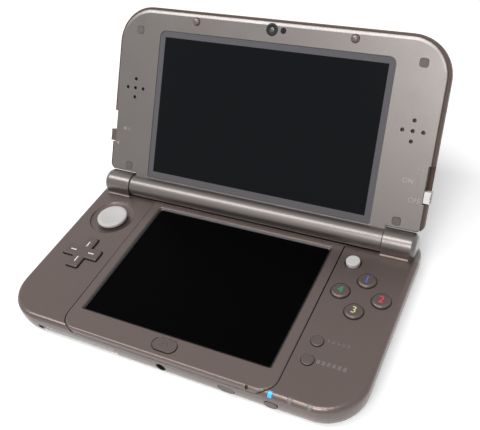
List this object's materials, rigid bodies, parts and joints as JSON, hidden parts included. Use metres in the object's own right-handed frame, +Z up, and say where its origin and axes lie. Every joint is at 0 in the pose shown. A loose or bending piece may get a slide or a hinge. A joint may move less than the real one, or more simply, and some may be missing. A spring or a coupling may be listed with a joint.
{
  "type": "clamshell handheld game console",
  "caption": "Clamshell handheld game console: base with touch screen, pads, buttons and shoulder keys, and a lid with a wide screen on a friction hinge.",
  "frame": {"origin": "middle of the base's footprint, on the surface that the feet stand on", "axes": "+X to the right along the hinge, +Y to the rear where the hinge is, +Z up out of the base's top face"},
  "size_m": [0.1584, 0.1355, 0.0867],
  "materials": {
    "base_shell": "satin metallic dark brown-grey paint",
    "panel_shell": "satin metallic warm grey paint",
    "lid_shell": "satin metallic dark brown-grey",
    "lid_frame": "satin metallic warm silver paint",
    "black_plastic": "matte black",
    "light_plastic": "matte light grey",
    "button_plastic": "satin brown-grey",
    "touch_glass": "semi-matte black film",
    "lens_glass": "clear gloss over a dark screen",
    "screen_module": "black",
    "rubber": "matte",
    "silicone": "translucent white silicone",
    "steel": "brushed",
    "board": "solder mask",
    "battery_wrap": "plastic wrap",
    "infrared_plastic": "dark red-black",
    "led_plastic": "milky clear",
    "cable_film": "copper-coloured film",
    "bumper_rubber": "grey rubber",
    "optics": "dark coated lens"
  },
  "bodies": {
    "base": {"back_cover": "base_shell", "feet": "rubber", "cover_screws": "steel", "lower_housing": "base_shell", "port_walls": "base_shell", "case_screws": "steel", "battery": "battery_wrap", "mainboard": "board", "wifi_module": "steel", "memory_card_slot": "steel", "card_slot": "steel", "headphone_jack": "black_plastic", "charging_port": "black_plastic", "ir_window": "infrared_plastic", "lower_lcd": "screen_module", "lcd_tray": "steel", "touch_panel": "touch_glass", "screen_surround": "panel_shell", "face_panel": "base_shell", "led_windows": "led_plastic", "circle_pad_base": "black_plastic", "dome_sheet_left": "silicone", "dome_sheet_right": "silicone", "c_stick": "light_plastic", "c_stick_base": "black_plastic", "hinge_clutch": "steel", "hinge_bushing": "steel", "display_cable": "cable_film"},
    "lid": {"lid_outer_cover": "lid_shell", "lid_inner_frame": "lid_frame", "screen_lens": "lens_glass", "upper_lcd": "screen_module", "speaker_left": "black_plastic", "speaker_right": "black_plastic", "inner_camera": "optics", "ir_led": "infrared_plastic", "outer_cameras": "optics", "lid_board": "board", "bumpers": "bumper_rubber", "screw_covers": "bumper_rubber", "lid_screws": "steel"},
    "circle_pad_carriage": {"circle_pad_carriage": "light_plastic"},
    "circle_pad": {"circle_pad": "light_plastic"},
    "d_pad_pivot": {"d_pad_pivot": "steel"},
    "d_pad": {"d_pad": "button_plastic"},
    "button_top": {"button_top": "button_plastic"},
    "button_left": {"button_left": "button_plastic"},
    "button_right": {"button_right": "button_plastic"},
    "button_bottom": {"button_bottom": "button_plastic"},
    "start_button": {"start_button": "button_plastic"},
    "select_button": {"select_button": "button_plastic"},
    "home_button": {"home_button": "button_plastic"},
    "stylus": {"stylus": "black_plastic"},
    "power_button": {"power_button": "button_plastic"},
    "shoulder_l": {"shoulder_l": "button_plastic"},
    "shoulder_zl": {"shoulder_zl": "button_plastic"},
    "shoulder_zr": {"shoulder_zr": "button_plastic"},
    "shoulder_r": {"shoulder_r": "button_plastic"},
    "depth_slider": {"depth_slider": "light_plastic"},
    "volume_slider": {"volume_slider": "button_plastic"}
  },
  "joints": [
    {"name": "lid_hinge", "type": "hinge", "parent": "base", "child": "lid", "pos_m": [0, 0.03875, 0.0146], "axis": [-1, 0, 0], "range_deg": [-122, 33]},
    {"name": "circle_pad_x", "type": "slide", "parent": "base", "child": "circle_pad_carriage", "axis": [1, 0, 0], "range_m": [-0.002, 0.002], "stiffness_N_per_m": 150},
    {"name": "circle_pad_y", "type": "slide", "parent": "circle_pad_carriage", "child": "circle_pad", "axis": [0, 1, 0], "range_m": [-0.002, 0.002], "stiffness_N_per_m": 150},
    {"name": "d_pad_tilt_x", "type": "hinge", "parent": "base", "child": "d_pad_pivot", "pos_m": [-0.0625, -0.00805, 0.009], "axis": [1, 0, 0], "range_deg": [-3, 3], "stiffness_Nm_per_rad": 0.3, "deforming": ["dome_sheet_left"]},
    {"name": "d_pad_tilt_y", "type": "hinge", "parent": "d_pad_pivot", "child": "d_pad", "pos_m": [-0.0625, -0.00805, 0.009], "axis": [0, 1, 0], "range_deg": [-3, 3], "stiffness_Nm_per_rad": 0.3, "deforming": ["dome_sheet_left"]},
    {"name": "button_top_press", "type": "slide", "parent": "base", "child": "button_top", "axis": [0, 0, -1], "range_m": [0, 0.0009], "stiffness_N_per_m": 600, "springref_m": -0.0003, "deforming": ["dome_sheet_right"]},
    {"name": "button_left_press", "type": "slide", "parent": "base", "child": "button_left", "axis": [0, 0, -1], "range_m": [0, 0.0009], "stiffness_N_per_m": 600, "springref_m": -0.0003, "deforming": ["dome_sheet_right"]},
    {"name": "button_right_press", "type": "slide", "parent": "base", "child": "button_right", "axis": [0, 0, -1], "range_m": [0, 0.0009], "stiffness_N_per_m": 600, "springref_m": -0.0003, "deforming": ["dome_sheet_right"]},
    {"name": "button_bottom_press", "type": "slide", "parent": "base", "child": "button_bottom", "axis": [0, 0, -1], "range_m": [0, 0.0009], "stiffness_N_per_m": 600, "springref_m": -0.0003, "deforming": ["dome_sheet_right"]},
    {"name": "start_button_press", "type": "slide", "parent": "base", "child": "start_button", "axis": [0, 0, -1], "range_m": [0, 0.0005], "stiffness_N_per_m": 600, "springref_m": -0.0003},
    {"name": "select_button_press", "type": "slide", "parent": "base", "child": "select_button", "axis": [0, 0, -1], "range_m": [0, 0.0005], "stiffness_N_per_m": 600, "springref_m": -0.0003},
    {"name": "home_button_press", "type": "slide", "parent": "base", "child": "home_button", "axis": [0, 0, -1], "range_m": [0, 0.0005], "stiffness_N_per_m": 600, "springref_m": -0.0003},
    {"name": "power_button_press", "type": "slide", "parent": "base", "child": "power_button", "axis": [0, 1, 0], "range_m": [0, 0.0005], "stiffness_N_per_m": 600, "springref_m": -0.0003},
    {"name": "shoulder_l_press", "type": "hinge", "parent": "base", "child": "shoulder_l", "pos_m": [-0.0734, 0.0424, 0.008], "axis": [0, 0, -1], "range_deg": [0, 3.5], "stiffness_Nm_per_rad": 0.15, "springref_deg": -2.86},
    {"name": "shoulder_zl_press", "type": "hinge", "parent": "base", "child": "shoulder_zl", "pos_m": [-0.0545, 0.0446, 0.008], "axis": [0, 0, -1], "range_deg": [0, 5], "stiffness_Nm_per_rad": 0.1, "springref_deg": -2.86},
    {"name": "shoulder_zr_press", "type": "hinge", "parent": "base", "child": "shoulder_zr", "pos_m": [0.0545, 0.0446, 0.008], "axis": [0, 0, 1], "range_deg": [0, 5], "stiffness_Nm_per_rad": 0.1, "springref_deg": -2.86},
    {"name": "shoulder_r_press", "type": "hinge", "parent": "base", "child": "shoulder_r", "pos_m": [0.0734, 0.0424, 0.008], "axis": [0, 0, 1], "range_deg": [0, 3.5], "stiffness_Nm_per_rad": 0.15, "springref_deg": -2.86},
    {"name": "stylus_pull", "type": "slide", "parent": "base", "child": "stylus", "axis": [0, -1, 0], "range_m": [0, 0.085]},
    {"name": "depth_slide", "type": "slide", "parent": "lid", "child": "depth_slider", "axis": [0, 0.5299, 0.848], "range_m": [0, 0.0102]},
    {"name": "volume_slide", "type": "slide", "parent": "lid", "child": "volume_slider", "axis": [0, 0.5299, 0.848], "range_m": [0, 0.009]}
  ]
}
